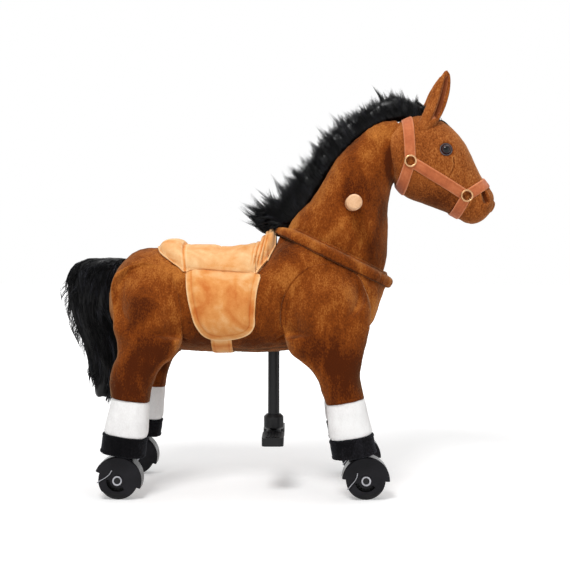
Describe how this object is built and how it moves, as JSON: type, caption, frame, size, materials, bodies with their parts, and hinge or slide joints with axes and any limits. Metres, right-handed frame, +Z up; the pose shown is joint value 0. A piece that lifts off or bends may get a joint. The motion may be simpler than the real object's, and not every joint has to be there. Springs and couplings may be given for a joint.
{
  "type": "ride-on horse on wheels",
  "caption": "Stuffed ride-on horse with saddle, handle pegs in the neck and foot rests, on hinged sprung legs with one-way wheels; the neck steers.",
  "frame": {"origin": "on the floor under the middle of the toy's outer box", "axes": "+X forward to the head, +Y to the horse's left, +Z up"},
  "size_m": [0.848, 0.2864, 0.8231],
  "materials": {
    "frame_steel": "dark satin paint",
    "brown_plush": "short brushed pile",
    "tan_suede": "soft suede cloth",
    "halter_web": "woven web",
    "black_hair": "long black pile",
    "black_paint": "satin black",
    "bright_steel": "bright",
    "black_plastic": "matte",
    "hood_plastic": "satin to glossy",
    "tyre_rubber": "matte rubber",
    "white_plush": "short white pile",
    "black_cloth": "plain black cloth",
    "pale_wood": "clear varnish",
    "gold_ring": "pale gold",
    "eye_gloss": "glossy dome"
  },
  "bodies": {
    "chassis": {"main_frame": "frame_steel", "torso_plush": "brown_plush", "saddle_seat": "tan_suede", "saddle_flap_right": "tan_suede", "saddle_flap_left": "tan_suede", "girth_strap": "halter_web", "tail_hair": "black_hair", "foot_post": "black_paint", "foot_bar": "bright_steel", "foot_rest_right": "black_plastic", "foot_rest_left": "black_plastic", "return_spring": "bright_steel"},
    "front_legs": {"front_shaft": "frame_steel", "front_leg_tube_right": "frame_steel", "front_leg_tube_left": "frame_steel", "front_leg_plush_right": "brown_plush", "front_leg_plush_left": "brown_plush", "front_sock_right": "white_plush", "front_sock_left": "white_plush", "front_hoof_right": "black_cloth", "front_hoof_left": "black_cloth"},
    "rear_legs": {"rear_shaft": "frame_steel", "rear_leg_tube_right": "frame_steel", "rear_leg_tube_left": "frame_steel", "rear_leg_plush_right": "brown_plush", "rear_leg_plush_left": "brown_plush", "rear_sock_right": "white_plush", "rear_sock_left": "white_plush", "rear_hoof_right": "black_cloth", "rear_hoof_left": "black_cloth", "fork_rear_right": "hood_plastic", "fork_rear_left": "hood_plastic", "rear_axles": "bright_steel", "rear_pawls": "bright_steel"},
    "gait_link": {"gait_rod": "frame_steel"},
    "neck": {"neck_stem": "frame_steel", "neck_plush": "brown_plush", "neck_cuff": "brown_plush", "head_plush": "brown_plush", "ears": "brown_plush", "eyes": "eye_gloss", "mane_hair": "black_hair", "handle_bar": "pale_wood", "halter_straps": "halter_web", "halter_rings": "gold_ring"},
    "front_fork_right": {"fork_front_right": "hood_plastic", "axle_front_right": "bright_steel", "pawl_front_right": "bright_steel"},
    "front_fork_left": {"fork_front_left": "hood_plastic", "axle_front_left": "bright_steel", "pawl_front_left": "bright_steel"},
    "wheel_front_right": {"hub_front_right": "black_plastic", "tyre_front_right": "tyre_rubber"},
    "wheel_front_left": {"hub_front_left": "black_plastic", "tyre_front_left": "tyre_rubber"},
    "wheel_rear_right": {"hub_rear_right": "black_plastic", "tyre_rear_right": "tyre_rubber"},
    "wheel_rear_left": {"hub_rear_left": "black_plastic", "tyre_rear_left": "tyre_rubber"}
  },
  "joints": [
    {"name": "gait", "type": "hinge", "parent": "chassis", "child": "front_legs", "pos_m": [0.0947, 0, 0.35], "axis": [0, -1, 0], "range_deg": [0, 12], "stiffness_Nm_per_rad": 20, "springref_deg": -22.92, "deforming": ["return_spring"]},
    {"name": "rear_gait", "type": "hinge", "parent": "chassis", "child": "rear_legs", "pos_m": [-0.2573, 0, 0.35], "axis": [0, -1, 0], "range_deg": [-12, 0]},
    {"name": "link_swing", "type": "hinge", "parent": "front_legs", "child": "gait_link", "pos_m": [0.0947, 0, 0.386], "axis": [0, -1, 0], "range_deg": [-12.36, 0]},
    {"name": "steer", "type": "hinge", "parent": "chassis", "child": "neck", "pos_m": [0.08832, 0, 0.4557], "axis": [0.4384, 0, 0.8988], "range_deg": [-15, 15]},
    {"name": "fork_steer_right", "type": "hinge", "parent": "front_legs", "child": "front_fork_right", "pos_m": [0.1502, -0.108, 0.03524], "axis": [-0.1736, 0, 0.9848], "range_deg": [-10.5, 10.5]},
    {"name": "fork_steer_left", "type": "hinge", "parent": "front_legs", "child": "front_fork_left", "pos_m": [0.1502, 0.108, 0.03524], "axis": [-0.1736, 0, 0.9848], "range_deg": [-10.5, 10.5]},
    {"name": "front_wheel_right_spin", "type": "hinge", "parent": "front_fork_right", "child": "wheel_front_right", "pos_m": [0.163, -0.108, 0.0375], "axis": [0, 1, 0], "continuous": true},
    {"name": "front_wheel_left_spin", "type": "hinge", "parent": "front_fork_left", "child": "wheel_front_left", "pos_m": [0.163, 0.108, 0.0375], "axis": [0, 1, 0], "continuous": true},
    {"name": "rear_wheel_right_spin", "type": "hinge", "parent": "rear_legs", "child": "wheel_rear_right", "pos_m": [-0.304, -0.108, 0.0375], "axis": [0, 1, 0], "continuous": true},
    {"name": "rear_wheel_left_spin", "type": "hinge", "parent": "rear_legs", "child": "wheel_rear_left", "pos_m": [-0.304, 0.108, 0.0375], "axis": [0, 1, 0], "continuous": true}
  ],
  "couplings": [
    {"joint": "rear_gait", "follows": "gait", "ratio": -1},
    {"joint": "link_swing", "follows": "gait", "ratio": -1.0208},
    {"joint": "fork_steer_right", "follows": "steer", "ratio": 0.7},
    {"joint": "fork_steer_left", "follows": "steer", "ratio": 0.7}
  ]
}
